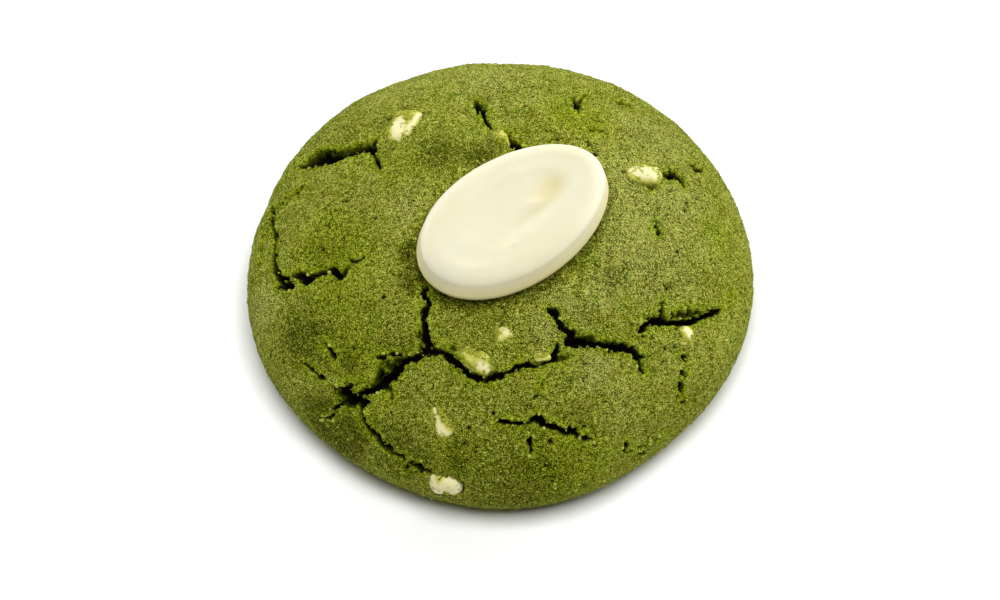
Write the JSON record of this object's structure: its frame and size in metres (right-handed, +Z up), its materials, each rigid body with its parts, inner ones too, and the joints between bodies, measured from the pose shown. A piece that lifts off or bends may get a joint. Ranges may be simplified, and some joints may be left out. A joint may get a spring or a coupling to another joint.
{
  "type": "matcha cookie",
  "caption": "Round domed green tea cookie with a cracked crust, an oval white chocolate disc pressed on top and white chocolate chunks showing in it.",
  "frame": {"origin": "middle of the flat base, on the surface the cookie rests on", "axes": "+Z up through the middle of the dome, -Y towards the front, +X to the right"},
  "size_m": [0.0683, 0.068, 0.0287],
  "materials": {
    "dough": "matte, sandy baked crumb",
    "white_chocolate": "smooth, soft satin",
    "chocolate_chunk": "broken white chocolate, dusted with dough"
  },
  "bodies": {
    "root": {"dough": "dough", "chocolate_disc": "white_chocolate", "chunk_back_left": "chocolate_chunk", "chunk_back_right": "chocolate_chunk", "chunk_front_split": "chocolate_chunk", "chunk_under_disc": "chocolate_chunk", "chunk_front_slope": "chocolate_chunk", "chunk_front_foot": "chocolate_chunk", "chunk_right_gash": "chocolate_chunk", "chunk_back_split": "chocolate_chunk", "chunk_front_sliver": "chocolate_chunk"}
  },
  "joints": []
}
